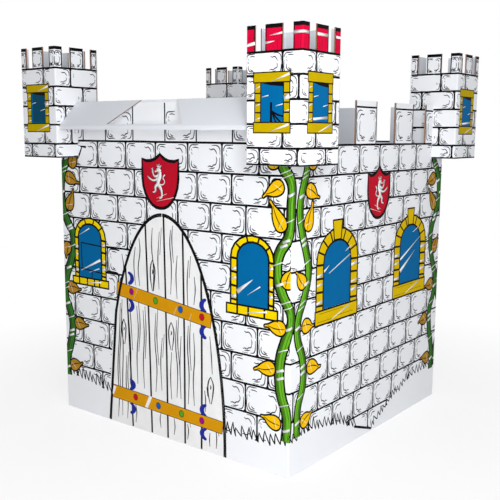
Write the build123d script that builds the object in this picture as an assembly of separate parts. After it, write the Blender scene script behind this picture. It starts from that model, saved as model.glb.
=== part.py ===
"""A child's play castle, folded from six die-cut sheets of white corrugated board.

Two L-shaped sheets make the four walls. One carries the front, with its arched door, and the right side.
The other carries the back and the left side, and its two tabs are glued inside the first. Four square
turrets, each a folded tube with a glued seam, drop over the corners on slots and rest on the wall tops.
The front battlement is left uncut, and a blank hood is folded outwards and down from its top edge.

Millimetres, +Z up, front towards -Y. The origin is on the ground, under the middle of the castle.
"""

from build123d import *
import os
from math import asin, cos, degrees, radians, sin, sqrt, tan

# Board
BOARD = 4.0  # thickness of the corrugated sheet
FOLD_RADIUS = 0.6  # inside radius of a crease
GLUE_LINE = 0.2  # gap that a glued tab leaves

# Walls, outside sizes
WALL_WIDTH = 1000.0  # front and back
WALL_DEPTH = 972.0  # left and right sides
WALL_TOP = 1107.0  # top of the battlements
BATTLEMENT = 134.0  # height of the battlements
WALL_TAB = 40.0  # glued tabs of the back sheet

# Battlements of the back wall, from its left end as seen from the front
BACK_LEFT_END = 124.0
BACK_FIRST_GAP = 108.0
BACK_MERLON = 138.0
BACK_MIDDLE_GAP = 138.0
BACK_RIGHT_END = 218.0

# Battlements of both side walls, from the front corner
SIDE_FRONT_END = 238.0
SIDE_FIRST_GAP = 97.0
SIDE_MERLON = 133.0
SIDE_MIDDLE_GAP = 123.0
SIDE_BACK_END = 152.0

# Door, half of an upright ellipse, cut round and left hanging on a crease at its left
DOOR_HALF_WIDTH = 264.0
DOOR_HEIGHT = 744.0
DOOR_CENTRE = -6.0
DOOR_KERF = 1.2  # width of the knife cut
DOOR_CREASE_TOP = 400.0  # the crease runs up to here, where the cut ends
CREASE_WIDTH = 2.0
CREASE_DEPTH = 0.6

# Hood folded from the top of the front wall
HOOD_TURN = 137.0  # degrees that the hood turns from the upright wall
HOOD_LENGTH = 116.0
HOOD_LIP = 11.0
HOOD_END_GAP = 1.0  # to each turret
HOOD_ROOT = 30.0  # height of plain wall that the fold starts from
CUTOUT_TOP_WIDTH = 150.0
CUTOUT_BOTTOM_WIDTH = 330.0
CUTOUT_CENTRE = -11.0
CUTOUT_LIP_LEFT = 6.0  # strip left above the lip's crease

# Turrets
TURRET_WIDTH = 184.0
TURRET_HEIGHT = 370.0
TURRET_DROP = 189.0  # how far a turret comes down over the wall tops, the length of its slots
TURRET_BATTLEMENT = 70.0  # height of the battlements
TURRET_MERLON = 56.0
TURRET_GAP = 34.0
TURRET_TAB = 28.0
SLOT_CLEARANCE = 0.5  # each side of the board

# Heights that follow
BATTLEMENT_FOOT = WALL_TOP - BATTLEMENT
TURRET_BOTTOM = WALL_TOP - TURRET_DROP
TURRET_TOP = TURRET_BOTTOM + TURRET_HEIGHT

# Middle planes of the walls, and of a turret's sides from its centre
WALL_X = WALL_WIDTH / 2 - BOARD / 2
WALL_Y = WALL_DEPTH / 2 - BOARD / 2
TURRET_SIDE = TURRET_WIDTH / 2 - BOARD / 2


def offset_line(points, distance):
    """The open line of points moved to its left by distance, with mitred corners."""
    headings = [(Vector(*b) - Vector(*a)).normalized() for a, b in zip(points, points[1:])]
    normals = [Vector(-h.Y, h.X) for h in headings]
    moved = [Vector(*points[0]) + normals[0] * distance]
    for point, before, after in zip(points[1:-1], normals, normals[1:]):
        moved.append(Vector(*point) + (before + after) * (distance / (1 + before.dot(after))))
    moved.append(Vector(*points[-1]) + normals[-1] * distance)
    return moved


def folded_section(points):
    """The section of one sheet of board that follows points, creased round at each corner."""
    turns = []
    for a, b, c in zip(points, points[1:], points[2:]):
        first = Vector(*b) - Vector(*a)
        second = Vector(*c) - Vector(*b)
        turns.append(first.X * second.Y - first.Y * second.X)
    inside, outside = FOLD_RADIUS, FOLD_RADIUS + BOARD
    left_radii = [inside if turn > 0 else outside for turn in turns]
    right_radii = [outside if turn > 0 else inside for turn in turns]
    left = FilletPolyline(*offset_line(points, BOARD / 2), radius=left_radii)
    right = FilletPolyline(*offset_line(points, -BOARD / 2), radius=right_radii)
    ends = [Line(left @ 0, right @ 0), Line(left @ 1, right @ 1)]
    return make_face([*left.edges(), *right.edges(), *ends])


def standing_sheet(points, height):
    """A folded sheet that stands on the ground, from its plan."""
    return extrude(folded_section(points), height, dir=(0, 0, 1))


def block(low, high):
    """The box between two corners."""
    size = [b - a for a, b in zip(low, high)]
    return Pos(*low) * Box(*size, align=(Align.MIN, Align.MIN, Align.MIN))


def battlement_gaps(start, end, first_end, first_gap, merlon, middle_gap, last_end):
    """The three gaps in a wall that runs from start to end, each as (from, to)."""
    first = start + first_end
    middle = first + first_gap + merlon
    last = middle + middle_gap + merlon
    return [(first, first + first_gap), (middle, middle + middle_gap), (last, end - last_end)]


def side_gaps(middle_plane):
    """What is cut from a side wall between its battlements."""
    half = WALL_DEPTH / 2
    pattern = (SIDE_FRONT_END, SIDE_FIRST_GAP, SIDE_MERLON, SIDE_MIDDLE_GAP, SIDE_BACK_END)
    return [
        block((middle_plane - BOARD, y0, BATTLEMENT_FOOT), (middle_plane + BOARD, y1, WALL_TOP + BOARD))
        for y0, y1 in battlement_gaps(-half, half, *pattern)
    ]


def back_gaps():
    """What is cut from the back wall between its battlements."""
    half = WALL_WIDTH / 2
    pattern = (BACK_LEFT_END, BACK_FIRST_GAP, BACK_MERLON, BACK_MIDDLE_GAP, BACK_RIGHT_END)
    return [
        block((x0, WALL_Y - BOARD, BATTLEMENT_FOOT), (x1, WALL_Y + BOARD, WALL_TOP + BOARD))
        for x0, x1 in battlement_gaps(-half, half, *pattern)
    ]


def hood_half_length():
    """Half of the hood's run from turret to turret."""
    return WALL_X - TURRET_WIDTH / 2 - HOOD_END_GAP


def hood_line():
    """The hood's middle line in (y, z): up the wall, over the fold, down the slope, down the lip."""
    bend = FOLD_RADIUS + BOARD / 2
    crest = WALL_TOP - FOLD_RADIUS - BOARD + bend * tan(radians(HOOD_TURN / 2))
    slope = radians(HOOD_TURN)
    root = (-WALL_Y, WALL_TOP - HOOD_ROOT)
    fold = (-WALL_Y, crest)
    eave = (fold[0] - HOOD_LENGTH * sin(slope), fold[1] + HOOD_LENGTH * cos(slope))
    lip = (eave[0], eave[1] - HOOD_LIP)
    return [root, fold, eave, lip]


def hood():
    """The blank hood, with its cut-out, from the root of the fold to the lip."""
    half = hood_half_length()
    section = Plane(origin=(-half, 0, 0), x_dir=(0, 1, 0), z_dir=(1, 0, 0)) * folded_section(hood_line())
    sheet = extrude(section, 2 * half, dir=(1, 0, 0))
    eave_z = hood_line()[2][1]
    bottom = eave_z + CUTOUT_LIP_LEFT
    top_half, bottom_half = CUTOUT_TOP_WIDTH / 2, CUTOUT_BOTTOM_WIDTH / 2
    outline = Polyline(
        (CUTOUT_CENTRE - bottom_half, bottom),
        (CUTOUT_CENTRE + bottom_half, bottom),
        (CUTOUT_CENTRE + top_half, WALL_TOP + BOARD),
        (CUTOUT_CENTRE - top_half, WALL_TOP + BOARD),
        close=True,
    )
    cutout = extrude(front_face() * make_face(outline), HOOD_LENGTH + HOOD_LIP)
    return sheet - cutout


def front_face():
    """The outside of the front wall as a sketch plane, with x to the right and y up."""
    return Plane(origin=(0, -WALL_DEPTH / 2, 0), x_dir=(1, 0, 0), z_dir=(0, -1, 0))


def door_cut():
    """The knife cut round the door, from the ground on the right, over the arch, to the crease's top."""
    below_ground = -degrees(asin(BOARD / DOOR_HEIGHT))
    crease_top = 180 - degrees(asin(DOOR_CREASE_TOP / DOOR_HEIGHT))
    outer, inner = [
        EllipticalCenterArc(
            (DOOR_CENTRE, 0),
            DOOR_HALF_WIDTH + grow,
            DOOR_HEIGHT + grow,
            start_angle=below_ground,
            arc_size=crease_top - below_ground,
        )
        for grow in (DOOR_KERF / 2, -DOOR_KERF / 2)
    ]
    ends = [Line(inner @ 0, outer @ 0), Line(inner @ 1, outer @ 1)]
    face = make_face([outer.edge(), inner.edge(), *ends])
    return extrude(front_face() * face, 2 * BOARD, both=True)


def door_crease():
    """The shallow groove that the door swings on, straight up from the foot of its left side."""
    half_width_there = DOOR_HALF_WIDTH * sqrt(1 - (DOOR_CREASE_TOP / DOOR_HEIGHT) ** 2)
    foot = DOOR_CENTRE - DOOR_HALF_WIDTH
    head = DOOR_CENTRE - half_width_there
    half = CREASE_WIDTH / 2
    outline = Polyline(
        (foot - half, 0),
        (foot + half, 0),
        (head + half, DOOR_CREASE_TOP),
        (head - half, DOOR_CREASE_TOP),
        close=True,
    )
    return extrude(front_face() * make_face(outline), -CREASE_DEPTH)


def front_right_sheet():
    """The front and right walls, one sheet creased at the front right corner, with the hood."""
    plan = [(-WALL_WIDTH / 2, -WALL_Y), (WALL_X, -WALL_Y), (WALL_X, WALL_DEPTH / 2)]
    sheet = standing_sheet(plan, WALL_TOP)
    half = hood_half_length()
    sheet -= block((-half, -WALL_Y - BOARD, WALL_TOP - HOOD_ROOT), (half, -WALL_Y + BOARD, WALL_TOP + BOARD))
    sheet += hood()
    for cut in [*side_gaps(WALL_X), door_cut(), door_crease()]:
        sheet -= cut
    return sheet


def back_left_sheet():
    """The left and back walls, one sheet creased at the back left corner, with its two glued tabs."""
    inset = BOARD + GLUE_LINE
    plan = [
        (-WALL_X + WALL_TAB, -WALL_Y + inset),
        (-WALL_X, -WALL_Y + inset),
        (-WALL_X, WALL_Y),
        (WALL_X - inset, WALL_Y),
        (WALL_X - inset, WALL_Y - WALL_TAB),
    ]
    sheet = standing_sheet(plan, WALL_TOP)
    for cut in [*side_gaps(-WALL_X), *back_gaps()]:
        sheet -= cut
    return sheet


def turret(side_x, side_y):
    """One turret on the corner at (side_x, side_y), each +1 or -1, with its seam at its inner corner."""
    centre_x = side_x * WALL_X
    centre_y = side_y * WALL_Y
    s = TURRET_SIDE
    inset = BOARD + GLUE_LINE
    outwards = [
        (-s - BOARD / 2, -s),
        (s, -s),
        (s, s),
        (-s, s),
        (-s, -s + inset),
        (-s + TURRET_TAB, -s + inset),
    ]
    plan = [(centre_x + side_x * u, centre_y + side_y * v) for u, v in outwards]
    tube = Pos(0, 0, TURRET_BOTTOM) * standing_sheet(plan, TURRET_HEIGHT)
    half = TURRET_WIDTH / 2
    past = half + BOARD
    over = TURRET_TOP + BOARD
    for low in (-TURRET_MERLON / 2 - TURRET_GAP, TURRET_MERLON / 2):
        high = low + TURRET_GAP
        for (x0, y0), (x1, y1) in (((-past, low), (past, high)), ((low, -past), (high, past))):
            foot = (centre_x + x0, centre_y + y0, TURRET_TOP - TURRET_BATTLEMENT)
            tube -= block(foot, (centre_x + x1, centre_y + y1, over))
    slot = BOARD / 2 + SLOT_CLEARANCE
    under = TURRET_BOTTOM - BOARD
    inner_x = sorted((centre_x, centre_x - side_x * past))
    inner_y = sorted((centre_y, centre_y - side_y * past))
    tube -= block((inner_x[0], centre_y - slot, under), (inner_x[1], centre_y + slot, WALL_TOP))
    tube -= block((centre_x - slot, inner_y[0], under), (centre_x + slot, inner_y[1], WALL_TOP))
    return tube


def main():
    os.makedirs("parts", exist_ok=True)
    sheets = {"front_right_walls": front_right_sheet(), "back_left_walls": back_left_sheet()}
    for y_name, side_y in (("front", -1), ("back", 1)):
        for x_name, side_x in (("left", -1), ("right", 1)):
            sheets[f"{y_name}_{x_name}_turret"] = turret(side_x, side_y)
    for name, sheet in sheets.items():
        export_step(sheet, f"parts/{name}.step")
        box = sheet.bounding_box()
        print(name, len(sheet.solids()), "solid", round(sheet.volume), "mm3", box.size)


main()
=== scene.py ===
# %% [markdown]
# # A cardboard play castle
# The real castle is six sheets of white-faced corrugated board, cut and creased by machine, then folded by
# hand. Every colour on it is ink on flat board. So the sheets come ready made from the frame, and this script
# gives the board its finish and lays the print on it, one colour at a time, as a printing press does.

# %% Load the frame
import math
import random

import bpy
from mathutils import Matrix, Vector


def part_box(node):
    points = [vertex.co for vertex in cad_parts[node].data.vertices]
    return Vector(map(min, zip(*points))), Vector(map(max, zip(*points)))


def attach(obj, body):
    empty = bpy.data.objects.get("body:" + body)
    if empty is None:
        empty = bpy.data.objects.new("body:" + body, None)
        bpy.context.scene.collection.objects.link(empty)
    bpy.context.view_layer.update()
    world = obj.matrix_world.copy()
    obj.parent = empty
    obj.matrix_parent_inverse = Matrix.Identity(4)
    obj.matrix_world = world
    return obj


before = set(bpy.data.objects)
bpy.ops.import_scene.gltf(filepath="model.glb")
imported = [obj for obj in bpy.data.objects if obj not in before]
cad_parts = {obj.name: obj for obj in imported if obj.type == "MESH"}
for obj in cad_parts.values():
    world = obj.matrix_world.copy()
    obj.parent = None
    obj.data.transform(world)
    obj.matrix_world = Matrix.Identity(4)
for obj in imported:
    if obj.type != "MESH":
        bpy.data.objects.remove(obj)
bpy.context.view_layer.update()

print("sheets:", ", ".join(sorted(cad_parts)))

# %% [markdown]
# ## Sizes
# The drawing below is in millimetres, because the artwork was set out that way. The walls' own places are
# read from the sheets, so the print always lies on them.

# %% Sizes read from the sheets
MM = 0.001
BOARD = 4 * MM
FOLD = BOARD + 0.6 * MM  # outside radius of a crease
TAB = BOARD + 0.2 * MM  # a glued tab lies one board and a line of glue inside
wall_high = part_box("front_right_walls")[1]
turret_low, turret_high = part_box("front_right_turret")
HALF_WIDTH = wall_high.x
HALF_DEPTH = wall_high.y
WALL_TOP = wall_high.z
TURRET_HALF = (turret_high.x - turret_low.x) / 2
TURRET_X = (turret_high.x + turret_low.x) / 2
TURRET_Y = -(turret_high.y + turret_low.y) / 2
print("walls", round(2 * HALF_WIDTH, 3), "by", round(2 * HALF_DEPTH, 3), "m, top", round(WALL_TOP, 3))

# %% [markdown]
# ## Camera
# The camera stands a little right of the front corner at a child's eye height, about 2.9 m away.

# %% Camera
CAMERA_PLACE = (1.740, -2.259, 1.004)
CAMERA_YAW, CAMERA_PITCH, CAMERA_ROLL = 38.05, 8.53, 0.34

bpy.ops.object.camera_add()
camera = bpy.context.object
camera.data.lens = 56
turned = Matrix.Rotation(math.radians(CAMERA_YAW), 4, "Z")
tipped = Matrix.Rotation(math.radians(90 - CAMERA_PITCH), 4, "X")
rolled = Matrix.Rotation(math.radians(CAMERA_ROLL), 4, "Z")
camera.matrix_world = Matrix.Translation(CAMERA_PLACE) @ turned @ tipped @ rolled
bpy.context.scene.camera = camera
print("lens", camera.data.lens, "mm, eye height", CAMERA_PLACE[2], "m")

# %% [markdown]
# ## Materials: helpers
# Colours are written as hex values, as a printer or a designer gives them, and one function turns them into
# the linear light that the shader wants. A second small function adds a node with its settings and links.

# %% Colour and node helpers
def colour(hex_value):
    """A linear RGBA colour from an sRGB hex value such as '#C8172F'."""
    parts = [int(hex_value[i : i + 2], 16) / 255 for i in (1, 3, 5)]
    return (*[p / 12.92 if p <= 0.04045 else ((p + 0.055) / 1.055) ** 2.4 for p in parts], 1)


def add(tree, kind, inputs=None, **settings):
    """Adds a node, sets its properties, and fills or links its inputs."""
    made = tree.nodes.new(kind)
    for name, value in settings.items():
        setattr(made, name, value)
    for socket, value in (inputs or {}).items():
        if isinstance(value, bpy.types.NodeSocket):
            tree.links.new(value, made.inputs[socket])
        else:
            made.inputs[socket].default_value = value
    return made


def calc(tree, operation, *values):
    """The output of a Math node on these values or sockets."""
    return add(tree, "ShaderNodeMath", dict(enumerate(values)), operation=operation).outputs[0]


def mix(tree, factor, first, second):
    """The colour output of a Mix node."""
    node = add(tree, "ShaderNodeMix", {0: factor, 6: first, 7: second}, data_type="RGBA")
    return node.outputs[2]


print("#808080 is", round(colour("#808080")[0], 3), "in linear light")

# %% [markdown]
# ## Material: white-faced corrugated board
# Single-wall corrugated board is a wavy paper between two flat ones. This board has a bleached white face, a
# greyer reverse and brown kraft inside, which shows only where a knife has cut it. The reverse's grey is
# partly the unprinted paper and partly painted shade, as the hood and the insides that show it are in shade.
# Three things sell it: the faint washboard that the flutes press into the face, the soft mottle of paper
# fibre, and brown cut edges in which the flutes can be seen. One material does all three. It measures how far
# a point is from the middle of the board: on the skins it is white or grey, and between them it is a cut
# edge.

# %% Flutes under the paper
FLUTE_PITCH = 7.3 * MM  # C flute, the usual one for boxes


def washboard(tree, position, strength):
    """A bump from upright flutes under the paper and fibre in it."""
    along = calc(tree, "ADD", position.outputs["X"], position.outputs["Y"])
    wave = calc(tree, "SINE", calc(tree, "MULTIPLY", along, 2 * math.pi / FLUTE_PITCH))
    object_place = add(tree, "ShaderNodeTexCoord").outputs["Object"]
    fibre = add(tree, "ShaderNodeTexNoise", {"Vector": object_place, "Scale": 260.0, "Detail": 4.0})
    height = calc(tree, "ADD", calc(tree, "MULTIPLY", wave, 0.35), fibre.outputs["Fac"])
    return add(tree, "ShaderNodeBump", {"Height": height, "Strength": strength, "Distance": 0.12 * MM})


print("flutes", round(FLUTE_PITCH / MM, 1), "mm apart")

# %% [markdown]
# ### Where the knife has cut
# The sheets stand in a square ring. How far a point lies from the middle of the nearest board says whether
# it is on the outer skin, on the inner one, or between them at a cut. Creases are skin all the way round, so
# only faces that are square to the board count as cut.

# %% Depth in the board
def board_depth(tree, position, centre, half):
    """How far outside the board's middle a point is. centre and half place the middle of the ring."""
    depths = []
    for axis, middle, reach in zip("XY", centre, half):
        from_middle = calc(tree, "SUBTRACT", calc(tree, "ABSOLUTE", position.outputs[axis]), middle)
        depths.append(calc(tree, "SUBTRACT", calc(tree, "ABSOLUTE", from_middle), reach))
    return calc(tree, "MAXIMUM", *depths)


def knife_cuts(tree, depth, steep):
    """1 at a cut: between the skins on a square face, and on every level face."""
    inside_board = calc(tree, "LESS_THAN", calc(tree, "ABSOLUTE", depth), 0.45 * BOARD)
    square_on = calc(tree, "LESS_THAN", calc(tree, "MINIMUM", steep[0], steep[1]), 0.02)
    side_cut = calc(tree, "MULTIPLY", inside_board, square_on)
    return calc(tree, "MAXIMUM", side_cut, calc(tree, "GREATER_THAN", steep[2], 0.5))


# %% [markdown]
# ### Sheet ends and the hood
# The walls have two places that this rule gets wrong. At two corners a sheet's own end shows, because the
# other sheet's tab is glued inside it. And the hood is folded outwards, so its upper side is the reverse of
# the sheet, and its slanting ends are cut.

# %% Sheet ends and the hood
def sheet_ends(tree, position, normal):
    """1 on the end of a sheet at the front left and back right corners."""
    both = calc(tree, "MULTIPLY", position.outputs["X"], position.outputs["Y"])
    in_corner = calc(tree, "GREATER_THAN", both, (HALF_WIDTH - BOARD) * (HALF_DEPTH - BOARD))
    backward = calc(tree, "MULTIPLY", normal.outputs["X"], -1.0)
    faces_out = calc(tree, "MAXIMUM", backward, normal.outputs["Y"])
    return calc(tree, "MULTIPLY", in_corner, calc(tree, "GREATER_THAN", faces_out, 0.9))


def folded_hood(tree, position):
    """1 in front of the front wall, and 1 there or on the fold at the wall's top."""
    forward = calc(tree, "LESS_THAN", position.outputs["Y"], -HALF_DEPTH - 0.3 * MM)
    high = calc(tree, "GREATER_THAN", position.outputs["Z"], WALL_TOP - 8 * MM)
    front = calc(tree, "LESS_THAN", position.outputs["Y"], -HALF_DEPTH + 2 * BOARD)
    width = TURRET_X - TURRET_HALF
    between = calc(tree, "LESS_THAN", calc(tree, "ABSOLUTE", position.outputs["X"]), width)
    fold = calc(tree, "MULTIPLY", calc(tree, "MULTIPLY", high, front), between)
    return forward, calc(tree, "MAXIMUM", forward, fold)


def hood_skins(tree, position, normal, steep, cut, reverse):
    """The cut edges and the reverse, put right on the hood."""
    forward, folded = folded_hood(tree, position)
    keep = calc(tree, "SUBTRACT", 1.0, folded)
    knife = calc(tree, "GREATER_THAN", steep[0], 0.3)
    level = calc(tree, "MULTIPLY", forward, calc(tree, "GREATER_THAN", steep[2], 0.95))
    hood_cut = calc(tree, "MULTIPLY", calc(tree, "MAXIMUM", knife, level), folded)
    upward = calc(tree, "GREATER_THAN", normal.outputs["Z"], 0.02)
    outward = calc(tree, "LESS_THAN", normal.outputs["Y"], -0.9)
    shown = calc(tree, "MULTIPLY", calc(tree, "MAXIMUM", upward, outward), folded)
    cut = calc(tree, "ADD", calc(tree, "MULTIPLY", cut, keep), hood_cut)
    return cut, calc(tree, "ADD", calc(tree, "MULTIPLY", reverse, keep), shown)


# %% [markdown]
# ### The board's colours
# Bleached paper isn't one white: its fibre is cloudy, a few centimetres across. At a cut, the wavy middle
# paper shows as a sine line with dark hollows on both sides of it, and their darkness is painted shade.

# %% Board colours
FACE_WHITE, FACE_CLOUD = "#F5F7FB", "#E4E6EC"
# The reverse's greyer colours are partly painted shade for the hood and the insides, which stand in shade.
REVERSE_AND_SHADE_WHITE, REVERSE_AND_SHADE_CLOUD = "#E6EAF0", "#CFD5DD"
KRAFT, KRAFT_SHADOW = "#A5714A", "#5E3B22"


def board_colour(tree, place, position, depth, cut, reverse):
    """The colour of skins and cut edges together."""
    mottle = add(tree, "ShaderNodeTexNoise", {"Vector": place, "Scale": 9.0, "Detail": 3.0}).outputs["Fac"]
    shade = calc(tree, "MULTIPLY", mottle, 0.12)
    face = mix(tree, shade, colour(FACE_WHITE), colour(FACE_CLOUD))
    back = mix(tree, shade, colour(REVERSE_AND_SHADE_WHITE), colour(REVERSE_AND_SHADE_CLOUD))
    skins = mix(tree, reverse, face, back)
    along = calc(tree, "ADD", position.outputs["X"], position.outputs["Y"])
    wave = calc(tree, "SINE", calc(tree, "MULTIPLY", along, 2 * math.pi / FLUTE_PITCH))
    from_wave = calc(tree, "SUBTRACT", calc(tree, "DIVIDE", depth, 0.36 * BOARD), wave)
    # The hollows beside the wave are painted shade: they are darker because the flute channels would be in
    # shadow.
    flute_hollow_shade = calc(tree, "GREATER_THAN", calc(tree, "ABSOLUTE", from_wave), 0.45)
    edge = mix(tree, calc(tree, "MULTIPLY", flute_hollow_shade, 0.55), colour(KRAFT), colour(KRAFT_SHADOW))
    return mix(tree, cut, skins, edge)


# %% [markdown]
# ### The whole board material
# Uncoated paper scatters light widely, so the roughness is high and the sheen low. The turrets and the walls
# are the same board, but each ring has its own middle, so each gets its own material.

# %% Board material
def board_material(name, centre, half, walls=False):
    """Board for a square ring of sheets. The walls also have a hood and two sheet ends that show."""
    material = bpy.data.materials.new(name)
    material.use_nodes = True
    tree = material.node_tree
    shader = tree.nodes["Principled BSDF"]
    place = add(tree, "ShaderNodeTexCoord").outputs["Object"]
    position = add(tree, "ShaderNodeSeparateXYZ", {0: place})
    true_normal = add(tree, "ShaderNodeNewGeometry").outputs["True Normal"]
    normal = add(tree, "ShaderNodeSeparateXYZ", {0: true_normal})
    steep = [calc(tree, "ABSOLUTE", normal.outputs[axis]) for axis in "XYZ"]
    depth = board_depth(tree, position, centre, half)
    cut = knife_cuts(tree, depth, steep)
    reverse = calc(tree, "LESS_THAN", depth, 0.0)
    if walls:
        cut = calc(tree, "MAXIMUM", cut, sheet_ends(tree, position, normal))
        cut, reverse = hood_skins(tree, position, normal, steep, cut, reverse)
    board = board_colour(tree, place, position, depth, cut, reverse)
    tree.links.new(board, shader.inputs["Base Color"])
    tree.links.new(washboard(tree, position, 0.35).outputs[0], shader.inputs["Normal"])
    shader.inputs["Roughness"].default_value = 0.62
    shader.inputs["IOR"].default_value = 1.45
    shader.inputs["Specular IOR Level"].default_value = 0.3
    return material


# %% [markdown]
# ### Giving the sheets their board
# A sheet from the frame keeps its own mesh. Only the material in its slots is exchanged.

# %% Give the sheets their board
wall_middle = (HALF_WIDTH - BOARD / 2, HALF_DEPTH - BOARD / 2)
turret_middle = (TURRET_HALF - BOARD / 2,) * 2
wall_board = board_material("white_faced_board_walls", (0, 0), wall_middle, walls=True)
turret_board = board_material("white_faced_board_turrets", (TURRET_X, TURRET_Y), turret_middle)
for name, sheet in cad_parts.items():
    board = turret_board if "turret" in name else wall_board
    for slot_number in range(len(sheet.material_slots)):
        sheet.material_slots[slot_number].material = board
    if not sheet.material_slots:
        sheet.data.materials.append(board)
    print(name, "is", board.name)

# %% [markdown]
# ## Material: printing inks
# The colours are flat offset inks with no varnish, so they hardly shine. Flat doesn't mean perfect: ink
# takes a little more or less on rough paper, so each colour drifts slightly, and the washboard of the flutes
# shows through it.

# %% Ink materials
INKS = {
    "black": "#0C0A0E",
    "sketch": "#2C2733",
    "white": "#FBFBFC",
    "red": "#C4142C",
    "turret_red": "#DC0A3C",
    "blue": "#0069A4",
    "deep_blue": "#0B4A66",
    "green": "#6CB62A",
    "bark": "#3A7F18",
    # The three inks below are green, bark and leaf made darker and duller: painted shade for vines in shade.
    "far_green": "#3C7A2C",
    "far_bark": "#20501A",
    "leaf": "#FFC808",
    "far_leaf": "#B98A2A",
    "yellow": "#FBDA00",
    "gold": "#E4C000",
    "mustard": "#C9AC00",
    "orange": "#DF9C0A",
    "navy": "#23309A",
    "stud_magenta": "#A80B86",
    "stud_green": "#57A82B",
    "stud_blue": "#0A63BC",
    "stud_red": "#C8172F",
}


def ink_material(name, hex_value):
    """Offset ink on paper: nearly flat, a little uneven, with a faint sheen."""
    material = bpy.data.materials.new("offset_ink_" + name)
    material.use_nodes = True
    tree = material.node_tree
    shader = tree.nodes["Principled BSDF"]
    place = add(tree, "ShaderNodeTexCoord").outputs["Object"]
    take = add(tree, "ShaderNodeTexNoise", {"Vector": place, "Scale": 34.0, "Detail": 5.0}).outputs["Fac"]
    ink = colour(hex_value)
    heavy = (*[c * 0.86 for c in ink[:3]], 1)
    tree.links.new(mix(tree, take, ink, heavy), shader.inputs["Base Color"])
    position = add(tree, "ShaderNodeSeparateXYZ", {0: place})
    tree.links.new(washboard(tree, position, 0.25).outputs[0], shader.inputs["Normal"])
    shader.inputs["Roughness"].default_value = 0.6
    shader.inputs["IOR"].default_value = 1.45
    shader.inputs["Specular IOR Level"].default_value = 0.05
    return material


inks = {name: ink_material(name, hex_value) for name, hex_value in INKS.items()}
print(len(inks), "inks")

# %% [markdown]
# ## Printing: pen lines and filled shapes
# Ink could be a texture, but then its edges would be only as sharp as the texture. Here each colour is laid
# down as a very thin closed slab, so a line is sharp from any distance. A pen line is a curve with a bevel,
# flattened until it is a film. A filled shape is a flat curve with a little thickness. Later colours lie a
# film higher than earlier ones, as they do on a press.

# %% Drawing helpers
FILM = 0.08 * MM  # each colour's height over the one before
SOAK = 0.05 * MM  # how far a film reaches into the paper, so that none floats


def pen(points, width=3.0, soft=True, closed=False, taper=1.0):
    """A pen line through points, in millimetres. taper thins both of its ends."""
    widths = [width] * len(points) if isinstance(width, (int, float)) else list(width)
    if not closed:
        widths[0] *= taper
        widths[-1] *= taper
    return {"points": points, "widths": widths, "soft": soft, "closed": closed}


def shape(points, soft=False):
    """The outline of a filled shape, in millimetres."""
    return {"points": points, "widths": [1] * len(points), "soft": soft, "closed": True}


print("a film is", round(FILM / MM, 2), "mm over the one below it")

# %% [markdown]
# ### From lines to curves
# A pen line becomes a curve with a bevel, whose radius at each point is half the pen's width there. A filled
# shape becomes a flat curve with a fill and a little thickness.

# %% Lines to curves
def curve_object(name, lines, filled):
    """A curve in the XY plane with one spline for each line."""
    data = bpy.data.curves.new(name, "CURVE")
    data.dimensions = "2D" if filled else "3D"
    data.resolution_u = 6 if filled else 4
    for line in lines:
        spline = data.splines.new("BEZIER" if line["soft"] else "POLY")
        knots = spline.bezier_points if line["soft"] else spline.points
        knots.add(len(line["points"]) - 1)
        for knot, (u, v), width in zip(knots, line["points"], line["widths"]):
            knot.co = (u * MM, v * MM, 0) if line["soft"] else (u * MM, v * MM, 0, 1)
            knot.radius = width / 2
            if line["soft"]:
                knot.handle_left_type = knot.handle_right_type = "AUTO"
        spline.use_cyclic_u = line["closed"]
    if filled:
        data.fill_mode = "BOTH"
        data.extrude = MM
    else:
        data.twist_mode = "Z_UP"
        data.bevel_depth = MM
        data.bevel_resolution = 0
        data.use_fill_caps = True
    made = bpy.data.objects.new(name, data)
    bpy.context.collection.objects.link(made)
    return made


# %% [markdown]
# ### From curves to films of ink
# The curve is made a mesh, its doubles are merged so that it is closed, and all its points are brought to
# three levels: the top of the film, just below it, and a little inside the paper.

# %% Curves to films
NEAR_ZERO = 0.01 * MM  # a point nearer to the sheet than this lies on its plane


def only(piece):
    """Selects this piece alone and makes it active."""
    bpy.ops.object.select_all(action="DESELECT")
    piece.select_set(True)
    bpy.context.view_layer.objects.active = piece


def film(name, lines, level, filled):
    """A closed film of ink from lines: level 1 lies on the paper, and each further one a film higher."""
    made = curve_object(name, lines, filled)
    only(made)
    bpy.ops.object.convert(target="MESH")
    bpy.ops.object.mode_set(mode="EDIT")
    bpy.ops.mesh.select_all(action="SELECT")
    bpy.ops.mesh.remove_doubles(threshold=1e-6)
    bpy.ops.mesh.normals_make_consistent(inside=False)
    bpy.ops.object.mode_set(mode="OBJECT")
    top = level * FILM
    for vertex in made.data.vertices:
        if vertex.co.z > NEAR_ZERO:
            vertex.co.z = top
        elif vertex.co.z < -NEAR_ZERO:
            vertex.co.z = -SOAK
        else:
            vertex.co.z = top - 0.2 * FILM
    return made


# %% [markdown]
# ## Printing: ends and creases
# Where a sheet folds, the ink goes on round the crease. So a film is cut across with bisect, and the strips
# beyond the flat part are rolled round the crease's radius. Where the sheet ends, what is beyond is cleared.

# %% Ends and creases
def cut(piece, u, side, clear):
    """Cuts a flat film along u, and clears what is beyond the cut, or keeps both parts."""
    only(piece)
    bpy.ops.object.mode_set(mode="EDIT")
    bpy.ops.mesh.select_all(action="SELECT")
    bpy.ops.mesh.bisect(plane_co=(u, 0, 0), plane_no=(side, 0, 0), clear_outer=clear, use_fill=clear)
    bpy.ops.object.mode_set(mode="OBJECT")


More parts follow.
